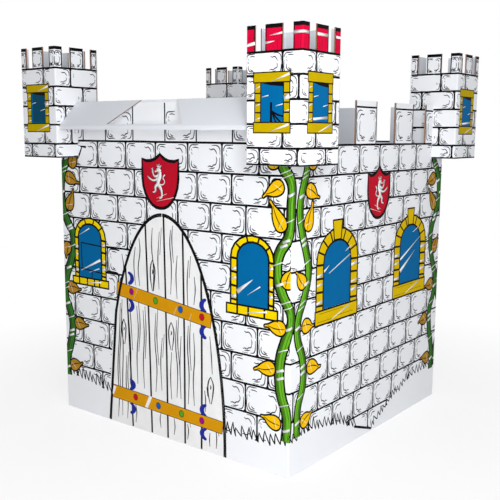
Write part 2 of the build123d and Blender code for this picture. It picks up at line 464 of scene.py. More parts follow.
def end_film(piece, side, flat, folds):
    """Ends a film at a sheet's edge, or leads it half-way round the crease there."""
    arc = FOLD * math.pi / 4 if folds else -0.2 * MM
    if max(side * vertex.co.x for vertex in piece.data.vertices) < flat + min(arc, 0):
        return
    cut(piece, side * (flat + arc), side, clear=True)
    if not folds:
        return
    for part in (0, 1 / 3, 2 / 3):
        cut(piece, side * (flat + arc * part), side, clear=False)
    for vertex in piece.data.vertices:
        beyond = side * vertex.co.x - flat
        if beyond > 0:
            radius = FOLD + vertex.co.z
            vertex.co.x = side * (flat + radius * math.sin(beyond / FOLD))
            vertex.co.z = radius * math.cos(beyond / FOLD) - FOLD


# %% [markdown]
# ## Printing: laying a drawing on a face
# A drawing is made flat, then stood up and turned to face the right way. The move is applied to its mesh, so
# the finished piece sits at the origin like every other. Each colour on each sheet ends as one piece.

# %% Lay a drawing on a face
FACE_TURNS = {"front": 0, "right": 90, "back": 180, "left": 270}
printed = {}  # (sheet, ink) to the films that make it up


def lay(sheet, face, centre, distance, ends, drawing):
    """Lays a drawing on a face: {(ink, level): (pen lines, filled shapes)}.

    ends gives, for the face's left and right, how far it is flat and whether it folds there.
    """
    turn = math.radians(FACE_TURNS[face])
    outward = Vector((math.sin(turn), -math.cos(turn), 0))
    for (ink, level), (lines, shapes) in drawing.items():
        for group, filled in ((lines, False), (shapes, True)):
            if not group:
                continue
            made = film(f"{sheet}_{face}_{ink}", group, level, filled)
            for side, (flat, folds) in zip((-1, 1), ends):
                end_film(made, side, flat, folds)
            only(made)
            made.rotation_euler = (math.pi / 2, 0, turn)
            made.location = Vector((*centre, 0)) + outward * distance
            bpy.ops.object.transform_apply(location=True, rotation=True, scale=True)
            printed.setdefault((sheet, ink), []).append(made)


def put(drawing, ink, level, lines=(), shapes=()):
    """Adds pen lines and filled shapes to a drawing."""
    old_lines, old_shapes = drawing.setdefault((ink, level), ([], []))
    old_lines.extend(lines)
    old_shapes.extend(shapes)


# %% [markdown]
# ## Bricks
# Every block is drawn with the same few strokes: an inner edge that breaks off, a wavy crack at the top and
# bottom of one side, and short hooks in the other corners. They are set from the block's corners, so a
# wider block stretches in the middle only. A seeded shake of a millimetre keeps them from looking stamped.

# %% Strokes in one block
shake = random.Random(11)


def block_strokes(u0, u1, v0, v1, flip, small=1.0):
    """The sketch lines inside one block. flip is -1 where the light comes from the other side."""
    s = small
    w, h = (u1 - u0) / s, (v1 - v0) / s
    strokes = [
        [(w - 40, h - 7), (w - 18, h - 8), (w - 9, h - 16), (w - 8, h - 34)],
        [(w - 8, h - 42), (w - 8, 22), (w - 13, 10), (w - 26, 7)],
        [(w - 34, 7), (w - 56, 7)],
        [(7, h * 0.62), (7, 18), (13, 8), (26, 7), (46, 7)],
        [(7, h * 0.72), (8, h - 16), (15, h - 8), (30, h - 7), (44, h - 6)],
        [(w - 50, h - 17), (w - 42, h - 20), (w - 34, h - 18), (w - 25, h - 24), (w - 20, h - 33)],
        [(w - 24, h - 40), (w - 21, h * 0.45), (w - 23, 30)],
        [(w - 56, 17), (w - 48, 20), (w - 40, 18), (w - 33, 23), (w - 25, 25), (w - 22, 32)],
        [(w - 50, 12), (w - 38, 13), (w - 28, 16)],
        [(16, 34), (15, 22), (22, 14), (32, 13), (40, 11)],
        [(23, 24), (29, 19), (36, 18)],
        [(15, h - 20), (18, h - 26)],
        [(20, h - 15), (32, h - 14), (44, h - 16)],
        [(14, h - 30), (19, h - 37)],
    ]
    made = []
    for stroke in strokes:
        du, dv = shake.uniform(-1.4, 1.4), shake.uniform(-1.2, 1.2)
        across = [(s * (u + du), s * (v + dv)) for u, v in stroke]
        made.append([(u0 + u if flip > 0 else u1 - u, v0 + v) for u, v in across])
    return made


# %% [markdown]
# ### Rows of blocks
# The rows are laid out as a mason would: each starts a little further along than the one below, and a block
# that would run past the end of the face is cut short. Joints are thickest where they meet a row.

# %% Rows of blocks
MORTAR = 6.2  # pen widths in millimetres
SKETCH = 3.6


def at(line, u):
    """The height of a broken line at u."""
    for (u0, v0), (u1, v1) in zip(line, line[1:]):
        if u0 <= u <= u1:
            return v0 + (v1 - v0) * (u - u0) / (u1 - u0)
    return line[0][1] if u < line[0][0] else line[-1][1]


def brickwork(courses, block, phases, low, high, ground, flip=1, small=1.0):
    """Mortar and sketch lines for rows of blocks between the heights in courses, top first."""
    mortar, sketch = [], []
    rows = list(zip(courses, courses[1:]))
    for row, (top, bottom) in enumerate(rows):
        first = phases[row % len(phases)]
        start = first + block * math.floor((low - first) / block)
        edges = [start + block * i for i in range(int((high - start) / block) + 2)]
        for u0, u1 in zip(edges, edges[1:]):
            left, right = max(u0, low), min(u1, high)
            if right - left < 3:
                continue
            if top > max(at(ground, left), at(ground, right)):
                rise = shake.uniform(-0.8, 0.8)
                middle = ((left + right) / 2, top + rise)
                mortar.append(pen([(left, top), middle, (right, top)], MORTAR))
            foot = max(bottom, at(ground, u0))
            if u0 > low + 2 and foot < top - 8:
                lean = shake.uniform(-1, 1)
                joint = [(u0, top), (u0 + lean, top - 9), (u0 + lean, foot + 9), (u0, foot)]
                mortar.append(pen(joint, (MORTAR * 2.2, MORTAR, MORTAR, MORTAR * 2.6)))
            for stroke in block_strokes(u0, u1, bottom, top, flip, small):
                inside = all(low < u < high and v > at(ground, u) + 6 for u, v in stroke)
                if inside:
                    sketch.append(pen(stroke, SKETCH * small, taper=0.5))
    return mortar, sketch


# %% [markdown]
# ## Vines
# Leaves are teardrops with a rib. One outline would do for them all, but each is set from its base to its
# tip, so that it can lean and stretch as the drawn ones do.

# %% A leaf
def leaf(drawing, base, tip, width, ink):
    """A teardrop leaf with its round end at base and its point at tip."""
    bu, bv = base
    du, dv = tip[0] - bu, tip[1] - bv
    length = math.hypot(du, dv)
    du, dv = du / length, dv / length
    half = width / 2

    def out(along, across):
        return (bu + du * along - dv * across, bv + dv * along + du * across)

    outline = [
        out(-half * 1.0, 0),
        out(-half * 0.7, half * 0.75),
        out(0, half),
        out(length * 0.45, half * 0.78),
        out(length * 0.8, half * 0.3),
        out(length * 1.12, half * 0.25),
        out(length * 0.8, -half * 0.22),
        out(length * 0.4, -half * 0.75),
        out(0, -half),
        out(-half * 0.7, -half * 0.75),
    ]
    put(drawing, ink, 3, shapes=[shape(outline, soft=True)])
    rib = [out(length * 0.85, half * 0.05), out(length * 0.3, half * 0.2), out(-half * 0.8, -half * 0.05)]
    vein = [out(length * 0.1, half * 0.1), out(-half * 0.2, half * 0.55)]
    lines = [pen(outline, 5.2, closed=True), pen(rib, 3.6, taper=0.5), pen(vein, 2.6, taper=0.4)]
    put(drawing, "black", 4, lines)
    shine = [out(-half * 0.45, half * 0.5), out(length * 0.15, -half * 0.6)]
    put(drawing, "white", 5, [pen(shine, 4.0, soft=False, taper=0.3)])


# %% [markdown]
# ### Stems
# A stem is three lines over each other: black, then green a little narrower, then two thin darker lines for
# its bark. White bands cross it where the artist left a shine. Stems in shade and their leaves get darker,
# duller inks, which are painted shade.

# %% A vine
LIT_INKS = ("green", "bark", "leaf")
PAINTED_SHADE_INKS = ("far_green", "far_bark", "far_leaf")


def beside(points, distance):
    """A line at a distance to the left of points."""
    made = []
    for i, (u, v) in enumerate(points):
        u0, v0 = points[max(i - 1, 0)]
        u1, v1 = points[min(i + 1, len(points) - 1)]
        length = math.hypot(u1 - u0, v1 - v0)
        made.append((u - (v1 - v0) / length * distance, v + (u1 - u0) / length * distance))
    return made


def vine(drawing, stem, leaves, width, near):
    """A stem through points, with its bark, its shine and its leaves."""
    # Vines in shade (near is False) take darker inks, which paint their shade into the colour.
    skin, bark_ink, leaf_ink = LIT_INKS if near else PAINTED_SHADE_INKS
    put(drawing, "black", 2, [pen(stem, width + 11)])
    put(drawing, skin, 3, [pen(stem, width)])
    bark = [pen(beside(stem, d), 2.4, taper=0.5) for d in (-width * 0.17, width * 0.2)]
    put(drawing, bark_ink, 4, bark)
    for number, ((u0, v0), (u1, v1)) in enumerate(zip(stem, stem[1:])):
        for share in (0.3, 0.55) if number % 3 == 1 else (0.5,):
            u, v = u0 + (u1 - u0) * share, v0 + (v1 - v0) * share
            wide = number % 2 == 0
            reach = width * (0.45 if wide else 0.6)
            band = [(u - reach, v - reach * 0.4), (u + reach, v + reach * 0.35)]
            put(drawing, "white", 5, [pen(band, 12.0 if wide else 4.5, soft=False, taper=0.7)])
    for base, tip in leaves:
        leaf(drawing, base, tip, 46, leaf_ink)


# %% [markdown]
# ## Windows
# A window is a blue pane inside a ring of yellow stones, with a sill. Both edges of the ring are the same
# kind of line: straight sides with half an ellipse on them.

# %% An arch
def arch_points(left, right, foot, spring, top, steps=10):
    """Straight sides with half an ellipse on them, from the left foot over to the right one."""
    middle, half = (left + right) / 2, (right - left) / 2
    turns = [math.pi * (1 - i / steps) for i in range(steps + 1)]
    over = [(middle + half * math.cos(t), spring + (top - spring) * math.sin(t)) for t in turns]
    return [(left, foot), *over, (right, foot)]


print(len(arch_points(0, 120, 0, 140, 190)), "points on an arch")

# %% [markdown]
# ### Joints between the stones
# Round the arch, the joints point to its middle, as a mason cuts them. Down the sides they lie level. Where a
# keystone stands, it takes the place of the middle joints. A sill of one long stone has a few loose strokes.

# %% Joints of stones and sill
def stone_joints(pane, frame_edge, stones, keystone, heights):
    """The joints round the arch and down both sides."""
    left, right, _, spring, top = pane
    out_left, out_right, out_top = frame_edge
    middle = (left + right) / 2
    lines = []
    for i in range(1, stones):
        turn = math.pi * i / stones
        a = (middle + (right - middle) * math.cos(turn), spring + (top - spring) * math.sin(turn))
        b = (middle + (out_right - middle) * math.cos(turn), spring + (out_top - spring) * math.sin(turn))
        if keystone and abs(i - stones / 2) < 0.6:
            continue
        lines.append(pen([a, b], 6.2))
    for v in heights:
        lines.append(pen([(out_left, v + 2), (left, v)], 7.0))
        lines.append(pen([(right, v), (out_right, v - 2)], 7.0))
    return lines


def sill_lines(sill, ledge, joints):
    """The sill's outline, with its joints, or with loose strokes where it has none."""
    left, right, foot, top = sill
    lines = [pen(ledge, 8.0, soft=False, closed=True)]
    lines.extend(pen([(u, foot), (u, top)], 7.0) for u in joints)
    if not joints:
        for rise, start, stop in ((10, 0.05, 0.4), (15, 0.5, 0.9), (top - foot - 9, 0.1, 0.65)):
            ends = [(left + (right - left) * share, foot + rise) for share in (start, stop)]
            lines.append(pen(ends, 3.0, soft=False, taper=0.4))
    return lines


# %% [markdown]
# ### Shines
# White strokes make glass shine. They slant the same way everywhere, as from one light: long ones on the
# pane, a short one on each side stone, and a wedge on the sill.

# %% Shines
def window_shines(drawing, pane, frame_edge, sill, heights, step, shines):
    """White strokes on the pane, the side stones and the sill."""
    left, right, foot, _, top = pane
    out_left, out_right, _ = frame_edge
    high, wide = top - foot, right - left
    for (a_u, a_v), (b_u, b_v), width_a, width_b in shines:
        streak = [(left + wide * a_u, foot + high * a_v), (left + wide * b_u, foot + high * b_v)]
        put(drawing, "white", 5, [pen(streak, (width_a, width_b), soft=False)])
    for i, v in enumerate(heights[:3]):
        for is_right, (u0, u1) in enumerate(((out_left, left), (right, out_right))):
            drop = -step * (0.42 if (i + is_right) % 2 else 0.75)
            shine = [(u0 + 3, v + drop - 2), (u1 - 3, v + drop + 3)]
            put(drawing, "white", 5, [pen(shine, 6.0 if i % 2 else 9.0, soft=False)])
    s_left, s_right, s_foot, s_top = sill
    start, stop = (s_left + (s_right - s_left) * share for share in (0.38, 0.8))
    put(drawing, "white", 5, [pen([(start, s_foot + 8), (stop, s_top - 8)], (1.5, 6), soft=False)])


# %% [markdown]
# ### The whole window
# The ring is a filled shape with a second outline inside it, which Blender takes as a hole. The colours go
# on as in a press: blue first, then yellow, then black, and the white shines last.

# %% A window
def window(drawing, pane, frame_edge, sill, stones, ink, shines, keystone=None, sill_joints=()):
    """pane is left, right, foot, spring, top. frame_edge is left, right, top. sill is four numbers.

    shines are streaks on the pane: two ends as shares of its width and height, and two widths.
    """
    left, right, foot, spring, top = pane
    out_left, out_right, out_top = frame_edge
    inner = arch_points(left, right, foot, spring, top)
    outer = arch_points(out_left, out_right, foot, spring, out_top)
    put(drawing, "blue", 2, shapes=[shape(inner)])
    put(drawing, ink, 3, shapes=[shape(outer + inner[::-1])])
    lines = [pen(inner, 6.6, soft=False), pen(outer, 6.6, soft=False)]
    step = (spring - foot) / 3.4
    heights = [spring - 4 - step * i for i in range(4)]
    lines.extend(stone_joints(pane, frame_edge, stones, keystone, heights))
    s_left, s_right, s_foot, s_top = sill
    ledge = [(s_left, s_foot), (s_right, s_foot), (s_right, s_top), (s_left, s_top)]
    put(drawing, ink, 3, shapes=[shape(ledge)])
    lines.extend(sill_lines(sill, ledge, sill_joints))
    if keystone:
        k_left, k_right, k_foot, k_top = keystone
        pinch = (k_right - k_left) * 0.14
        stone = [(k_left + pinch, k_foot), (k_right - pinch, k_foot), (k_right, k_top), (k_left, k_top)]
        put(drawing, ink, 4, shapes=[shape(stone)])
        put(drawing, "black", 5, [pen(stone, 8.0, soft=False, closed=True)])
    put(drawing, "black", 4, lines)
    window_shines(drawing, pane, frame_edge, sill, heights, step, shines)


# %% [markdown]
# ## Shield and lion
# A lion standing on its hind legs is one of the oldest figures in heraldry. This one is a plain version of
# it, drawn as a few fat pen lines: a black set first, then the same lines in white, a little thinner.

# %% The lion
LION = [
    ([(7, 33), (5, 16), (-1, 2), (-2, -10)], (15, 19, 15, 14)),  # body
    ([(-7, 37), (1, 38), (8, 31)], (11, 17, 15)),  # head and mane
    ([(-8, 35), (-15, 32)], (7, 5)),  # muzzle
    ([(-4, 48), (3, 49), (10, 46)], (3, 4, 3)),  # crown
    ([(-3, 48), (-5, 55)], (3, 2)),
    ([(3, 49), (4, 57)], (3, 2)),
    ([(9, 47), (13, 53)], (3, 2)),
    ([(0, 22), (-14, 17), (-23, 25), (-25, 38)], (9, 7, 5, 6)),  # raised paw
    ([(-25, 38), (-31, 42)], (3, 2)),
    ([(-25, 38), (-24, 45)], (3, 2)),
    ([(-1, 12), (-16, 5), (-30, 6), (-43, 13)], (9, 7, 5, 5)),  # reaching paw
    ([(-43, 13), (-48, 18)], (3, 2)),
    ([(-3, -8), (-14, -16), (-13, -29), (-25, -34)], (13, 9, 6, 5)),  # lifted leg
    ([(0, -9), (10, -20), (15, -35), (13, -48), (4, -52)], (14, 11, 7, 6, 5)),  # standing leg
    ([(3, -6), (19, -8), (28, 2), (21, 14), (29, 24)], (4, 4, 4, 4, 6)),  # tail
]
print(len(LION), "lines in the lion")

# %% [markdown]
# ### Shields
# The shield's edge is listed as shares of its width and height, for one half only, and mirrored.

# %% A shield
def moved(points, du=0.0, dv=0.0, flip=1):
    """Points moved by du and dv, after a flip from side to side where flip is -1."""
    return [(flip * u + du, v + dv) for u, v in points]


def shield(drawing, middle, shoulder, peak, point, half, flip):
    """A red shield with a lion. peak, shoulder and point are heights."""
    high, rise = shoulder - point, peak - shoulder
    side = [(1, 1), (0.99, 0.62), (0.94, 0.44), (0.83, 0.29), (0.66, 0.16), (0.44, 0.06), (0.22, 0.01)]
    right = [(middle + half * u, point + high * v) for u, v in side]
    left = [(middle - half * u, v) for (u, _), (_, v) in zip(reversed(side), reversed(right))]
    dips = [(-0.78, -0.35), (-0.5, -0.3), (-0.28, 0.05), (-0.12, 0.5), (0, 1)]
    brow = dips + [(-u, v) for u, v in reversed(dips[:-1])]
    top_edge = [(middle + half * u, shoulder + rise * v) for u, v in brow]
    outline = [*left, *top_edge, *right, (middle, point)]
    put(drawing, "red", 3, shapes=[shape(outline)])
    put(drawing, "black", 4, [pen(outline, 10.5, soft=False, closed=True)])
    heart = (shoulder + point) / 2 + 6
    for points, widths in LION:
        body = moved(points, middle - flip * 8, heart, flip)
        put(drawing, "black", 4, [pen(body, [w + 3 for w in widths])])
        put(drawing, "white", 5, [pen(body, widths)])
    for rise, reach in ((-62, 0.75), (-52, 0.35)):
        start, stop = middle - flip * half * 0.2, middle + flip * half * reach
        shine = [(start, heart + rise), (stop, heart + rise + 16)]
        put(drawing, "white", 5, [pen(shine, 4, soft=False, taper=0.3)])


# %% [markdown]
# ## Grass
# A zigzag of short pen strokes hides the foot of the walls, and the board below it is left white.

# %% Grass
def grass(drawing, line, low, high, tall=44):
    """Blades along a broken line from low to high: each leans, and its foot starts the next one."""
    u, foot = low, at(line, low)
    while u < high:
        tip = (u + shake.uniform(-2, 9), foot + shake.uniform(0.6, 1.0) * tall)
        reach = u + shake.uniform(16, 25)
        next_foot = at(line, reach) + shake.uniform(-4, 4)
        rise = [(u, foot), ((u + tip[0]) / 2 - 1.5, (foot + tip[1]) / 2), tip]
        fall = [tip, ((reach + tip[0]) / 2 - 1.5, (next_foot + tip[1]) / 2), (reach, next_foot)]
        put(drawing, "black", 3, [pen(rise, (4.0, 4.6, 3.0)), pen(fall, (3.0, 4.6, 4.0))])
        u, foot = reach, next_foot


# %% [markdown]
# ## Door
# The door is a white arch over the bricks. It is half an ellipse, so a function gives any part of its edge,
# grown outwards or inwards a little. That is needed because the door is a real flap, cut by a knife: its
# outline is printed on both sides of the cut.

# %% The door's arch
DOOR_MIDDLE, DOOR_HALF, DOOR_TOP = -6.0, 264.0, 744.0
CUT_FOOT_LEFT = 400.0  # the knife cut ends here, and a crease runs down from it


def door_arch(grow, first, last, steps=28):
    """Points on the door's ellipse, grown outwards, between two angles in degrees."""
    turns = [math.radians(first + (last - first) * i / steps) for i in range(steps + 1)]
    half, high = DOOR_HALF + grow, DOOR_TOP + grow
    return [(DOOR_MIDDLE + half * math.cos(t), max(high * math.sin(t), 1.5)) for t in turns]


print("door", 2 * DOOR_HALF, "mm wide and", DOOR_TOP, "mm high")

# %% [markdown]
# ### Bands and studs
# Each band is one long shape over all the planks. Its studs are rings of points, and the navy crescents are
# the ends of the hinges behind it.

# %% Bands and studs
def band(drawing, left, left_feet, right, right_feet, studs, crescents):
    """An orange band across the door, from its left end to its right one, with its studs."""
    foot = [(left, left_feet[0]), (right, right_feet[0])]
    corners = [*foot, (right + 6, right_feet[1]), (left + 4, left_feet[1])]
    put(drawing, "orange", 4, shapes=[shape(corners)])
    put(drawing, "black", 5, [pen(corners, 3.0, soft=False, closed=True)])
    for (u, v), ink in studs:
        turns = [math.pi * i / 8 for i in range(16)]
        ring = [(u + 10 * math.cos(t), v + 11 * math.sin(t)) for t in turns]
        put(drawing, ink, 5, shapes=[shape(ring)])
        put(drawing, "black", 6, [pen(ring, 1.8, soft=False, closed=True)])
    for (u, v), height, side in crescents:
        outer = [(u, v - height / 2), (u + side * 24, v - height * 0.34), (u + side * 29, v + height * 0.1),
                 (u + side * 14, v + height * 0.5), (u, v + height * 0.48)]
        inner = [(u + side * 9, v + height * 0.2), (u + side * 10, v - height * 0.12)]
        put(drawing, "navy", 3, shapes=[shape(outer + inner, soft=True)])


# %% [markdown]
# ### Wood grain
# Grain is the one thing here that no rule draws well, so it is a list: long lines that run up the planks,
# a few of which open round a knot.

# %% Wood grain
GRAIN = [
    [(-228, 20), (-222, 90), (-226, 200), (-214, 330), (-208, 430)],
    [(-206, 30), (-204, 150), (-198, 280), (-204, 410)],
    [(-182, 24), (-178, 84), (-186, 150), (-180, 250)],
    [(-192, 520), (-188, 560), (-196, 600)],
    [(-166, 150), (-160, 260), (-168, 380), (-172, 420)],
    [(-140, 20), (-136, 60), (-142, 90)],
    [(-128, 160), (-130, 260), (-122, 350), (-128, 430)],
    [(-112, 500), (-118, 560), (-108, 620), (-112, 660)],
    [(-96, 150), (-100, 240), (-94, 330), (-98, 420)],
    [(-132, 500), (-138, 580), (-130, 630)],
    [(-42, 150), (-36, 230), (-44, 330), (-38, 420)],
    [(-20, 30), (-24, 60), (-18, 88)],
    [(-14, 160), (-18, 260), (-10, 340)],
    [(-50, 490), (-46, 560), (-54, 640), (-50, 700)],
    [(-22, 500), (-26, 600), (-18, 690)],
    [(30, 140), (26, 220), (32, 300)],
    [(54, 150), (58, 240), (50, 330), (56, 410)],
    [(72, 150), (68, 260), (74, 360)],
    [(30, 490), (34, 580), (28, 660), (32, 700)],
    [(58, 480), (54, 560), (60, 620)],
    [(104, 140), (108, 240), (102, 330), (106, 400)],
    [(130, 140), (126, 220), (132, 300), (128, 380)],
    [(104, 460), (102, 540), (108, 610)],
    [(130, 470), (136, 520), (132, 560)],
    [(176, 130), (178, 170), (174, 200)],
    [(206, 260), (202, 320), (196, 380)],
    [(222, 20), (224, 50), (220, 90)],
    [(196, 20), (194, 40), (196, 66)],
    [(100, 20), (104, 50), (100, 72)],
    [(40, 20), (44, 50), (40, 78)],
]


def knot(u, v, half, high):
    """A grain line that opens round a knot, and the knot itself."""
    foot, top, waist = v - high * 1.6, v + high, v - high * 0.5
    left = [(u - 2, foot), (u - half, waist), (u - half * 0.8, v + high * 0.5), (u, top)]
    right = [(u, top), (u + half, v + high * 0.3), (u + half * 0.9, waist), (u + 3, foot)]
    eye = [(u - 2, v - high * 0.2), (u + 1, v), (u - 1, v + high * 0.2)]
    return [left, right, eye]


KNOTS = [*knot(-51, 555, 10, 40), *knot(-192, 342, 9, 34), *knot(31, 363, 11, 36), *knot(199, 216, 11, 34)]
print(len(GRAIN), "grain lines and", len(KNOTS), "lines round knots")

# %% [markdown]
# ### The whole door
# Its white hides the bricks below it. The outline follows the knife cut down to where the cut ends, and from
# there a thick line covers the crease that the flap would turn on. Then come the planks' joints, the grain,
# the bands and a few white patches where they shine.

# %% The whole door
def door(drawing):
    """The whole door."""
    leaf_outline = door_arch(0, 0, 180)
    put(drawing, "white", 2, shapes=[shape(leaf_outline)])
    cut_foot = 180 - math.degrees(math.asin(CUT_FOOT_LEFT / DOOR_TOP))
    for grow in (3.0, -3.0):
        put(drawing, "black", 5, [pen(door_arch(grow, 0, 89.7), 5.6, soft=False)])
        put(drawing, "black", 5, [pen(door_arch(grow, 90.3, cut_foot), 5.6, soft=False)])
    crease = [(-269, 2), (-229, CUT_FOOT_LEFT + 4)]
    put(drawing, "black", 5, [pen(crease, 12)])
    planks = [(-154.5, -179), (-62, -82), (12, 1), (89, 83.5), (160.5, 160.5)]
    for foot, head in planks:
        top = DOOR_TOP * math.sqrt(1 - ((head - DOOR_MIDDLE) / DOOR_HALF) ** 2) - 3
        put(drawing, "black", 3, [pen([(foot, 3), ((foot + head) / 2 + 2, top / 2), (head, top)], 7.5)])
    more = [moved(line[1:], 9, 14) for line in GRAIN[::2]]
    put(drawing, "black", 3, [pen(line, 4.4, taper=0.5) for line in GRAIN + more])
    put(drawing, "black", 3, [pen(line, 5.2, taper=0.5) for line in KNOTS])
    top_studs = [((-152, 476), "stud_magenta"), ((-39, 460), "stud_green"),
                 ((72, 447), "stud_blue"), ((163, 436), "stud_red")]
    low_studs = [((-140, 110), "stud_red"), ((-31, 104), "stud_blue"),
                 ((74, 100.5), "stud_green"), ((162, 98), "stud_magenta")]
    band(drawing, -225, (457, 503), 199, (406, 450), top_studs,
         [((-168, 521), 40, 1), ((-168, 428), 42, 1), ((182, 474), 42, -1), ((182, 390), 40, -1)])
    band(drawing, -262, (88, 134), 246, (74.6, 114.5), low_studs,
         [((-168, 151), 36, 1), ((-168, 66), 36, 1), ((182, 135), 38, -1), ((182, 57), 36, -1)])
    streaks = [[(-140, 455), (-120, 492)], [(40, 418), (56, 455)], [(108, 412), (120, 440)]]
    put(drawing, "white", 5, [pen(line, 3, soft=False, taper=0.3) for line in streaks])
    patch = [(-95, 86), (-82, 84), (-60, 128), (-74, 130)]
    end_patch = [(-256, 98), (-250, 96), (-236, 128), (-250, 129)]
    put(drawing, "white", 5, shapes=[shape(patch), shape(end_patch)])


# %% [markdown]
# ## Battlements
# On the wall tops, black lines mark the sides of each tooth, and a line under its top leaves a blank strip.

# %% Battlements
def mirrored(teeth):
    """The teeth of the wall opposite, as they are seen from outside it."""
    return [(-right, -left) for left, right in reversed(teeth)]


def battlement(drawing, teeth, foot, top, flip, is_cut=True):
    """The print on each tooth, given as (left, right), from foot to top."""
    for left, right in teeth:
        line = top - 20
        for u in (left + 3, right - 3):
            put(drawing, "black", 2, [pen([(u, foot), (u, top - 1)], 5.2, soft=False)])
        if is_cut:
            put(drawing, "black", 2, [pen([(left + 3, line), (right - 3, line)], 5.6, soft=False)])
        strokes = block_strokes(left + 3, right - 3, foot + 2, line - 3, flip)
        put(drawing, "sketch", 1, [pen(stroke, SKETCH, taper=0.5) for stroke in strokes])


# %% [markdown]
# ## Front wall
# The front has the door, the shield over it, two windows, and a vine at each end. Its battlements are only
# printed: the sheet above the line is whole, and the hood folds out from its top. All places are in
# millimetres from the wall's middle and from the floor.

# %% Front wall places
FRONT_COURSES = [975.5 - 89.7 * i for i in range(11)]
FRONT_PHASES = (107, 8, 62)
FRONT_GROUND = [(-500, 132), (-280, 104), (265, 83), (440, 88), (500, 104)]
FRONT_EDGE = HALF_WIDTH / MM + 4
FRONT_TEETH = [(-FRONT_EDGE, -376), (-268, -130), (8, 146), (282, FRONT_EDGE)]

VINE_LEFT = [
    (-462, 935), (-478, 900), (-501, 839), (-501, 748), (-473, 685), (-448, 650), (-459, 559),
    (-490, 489), (-497, 412), (-476, 370), (-462, 314), (-476, 244), (-497, 181), (-494, 120),
]
VINE_LEFT_LEAVES = [
    ((-440, 902), (-420, 946)), ((-460, 846), (-412, 826)), ((-462, 752), (-438, 800)),
    ((-482, 594), (-492, 560)), ((-462, 452), (-415, 446)), ((-428, 324), (-380, 320)),
    ((-460, 163), (-415, 174)),
]
VINE_RIGHT = [
    (458, 940), (468, 912), (500, 867), (500, 804), (493, 720), (458, 664), (451, 608), (472, 545),
    (507, 482), (486, 419), (465, 349), (468, 258), (493, 181), (489, 110),
]
VINE_RIGHT_LEAVES = [
    ((434, 926), (424, 976)), ((450, 853), (400, 830)), ((462, 750), (430, 812)),
    ((488, 588), (506, 628)), ((462, 448), (412, 452)), ((426, 322), (374, 315)),
    ((448, 160), (402, 174)),
]

FRONT_SHINES = (
    [((0.1, 0.12), (0.95, 0.36), 3, 10), ((0.45, 0.1), (0.9, 0.2), 1, 4), ((0.05, 0.78), (0.5, 0.92), 1, 4)],
    [((0.0, 0.2), (0.5, 0.42), 16, 1), ((0.34, 0.17), (0.74, 0.33), 1, 4)],
)
print(len(FRONT_COURSES) - 1, "rows of blocks on the front wall")

# %% [markdown]
# ### The front wall's drawing
# The back wall gets the same drawing without the door and the shield. Its teeth are really cut, at the places
# of the front's printed ones as seen from the other side.

# %% Front wall drawing
def front_walls_drawing(with_door):
    """The print on the front wall, or on the back one, which has no door and no shield."""
    drawing = {}
    mortar, sketch = brickwork(FRONT_COURSES, 137.5, FRONT_PHASES, -FRONT_EDGE, FRONT_EDGE, FRONT_GROUND)
    put(drawing, "black", 1, mortar)
    put(drawing, "sketch", 1, sketch)
    foot = [(-FRONT_EDGE, FRONT_COURSES[0]), (FRONT_EDGE, FRONT_COURSES[0])]
    put(drawing, "black", 2, [pen(foot, 6.5, soft=False)])
    if with_door:
        battlement(drawing, FRONT_TEETH, FRONT_COURSES[0], 1098, 1, is_cut=False)
    else:
        battlement(drawing, mirrored(FRONT_TEETH), FRONT_COURSES[0], WALL_TOP / MM, 1)
    left_shines, right_shines = FRONT_SHINES
    window(drawing, (-419, -299, 498, 640, 688.5), (-438, -277, 709.5), (-453, -265, 470, 496), 5, "yellow",
           left_shines, sill_joints=(-418, -376, -338, -312))
    window(drawing, (304, 421.6, 498, 640, 690), (279.5, 440, 709.5), (263.4, 454.5, 468, 497), 5, "yellow",
           right_shines, sill_joints=(305, 347, 407))
    # The left vine is in shade, so it takes darker inks as painted shade.
    vine(drawing, VINE_LEFT, VINE_LEFT_LEAVES, 28, near=False)
    vine(drawing, VINE_RIGHT, VINE_RIGHT_LEAVES, 28, near=True)
    tendril = [[(-428, 898), (-406, 922), (-386, 958)], [(-398, 957), (-366, 954)]]
    put(drawing, "black", 2, [pen(line, (4, 8, 5)[: len(line)]) for line in tendril])
    grass(drawing, FRONT_GROUND, -FRONT_EDGE, -280 if with_door else 0)
    grass(drawing, FRONT_GROUND, 265 if with_door else 0, FRONT_EDGE)
    if with_door:
        shield(drawing, -12, 921, 937, 765.5, 80, 1)
        door(drawing)
        strays = [[(-404, 620), (-282, 614)], [(-404, 620), (-402, 527)], [(-450, 531), (-282, 520)],
                  [(-350, 526), (-350, 500)]]
        put(drawing, "black", 5, [pen(line, 4.2, soft=False) for line in strays])
        put(drawing, "black", 3, [pen([(-270, 532), (-216, 528)], 9.5, soft=False)])
        put(drawing, "black", 3, [pen([(-276, 617), (-208, 610)], 5.0, soft=False)])
    return drawing


# %% [markdown]
# ### Printing the front and back walls
# At some corners the sheet folds, and the ink goes half-way round the crease to meet the next wall's. At the
# others the sheet ends in a cut edge, and so does its ink.

# %% Print the front and back walls
front_ends = ((HALF_WIDTH, False), (HALF_WIDTH - FOLD, True))
back_ends = ((HALF_WIDTH - TAB - FOLD, True), (HALF_WIDTH - FOLD, True))
lay("front_wall", "front", (0, 0), HALF_DEPTH, front_ends, front_walls_drawing(with_door=True))
lay("back_wall", "back", (0, 0), HALF_DEPTH, back_ends, front_walls_drawing(with_door=False))
print(len(printed), "inks on sheets so far")

# %% [markdown]
# ## Side walls
# The sides have a shield between two larger windows, whose arches have a keystone. The light falls from the
# other side here, so the sketch lines in the blocks are turned round.

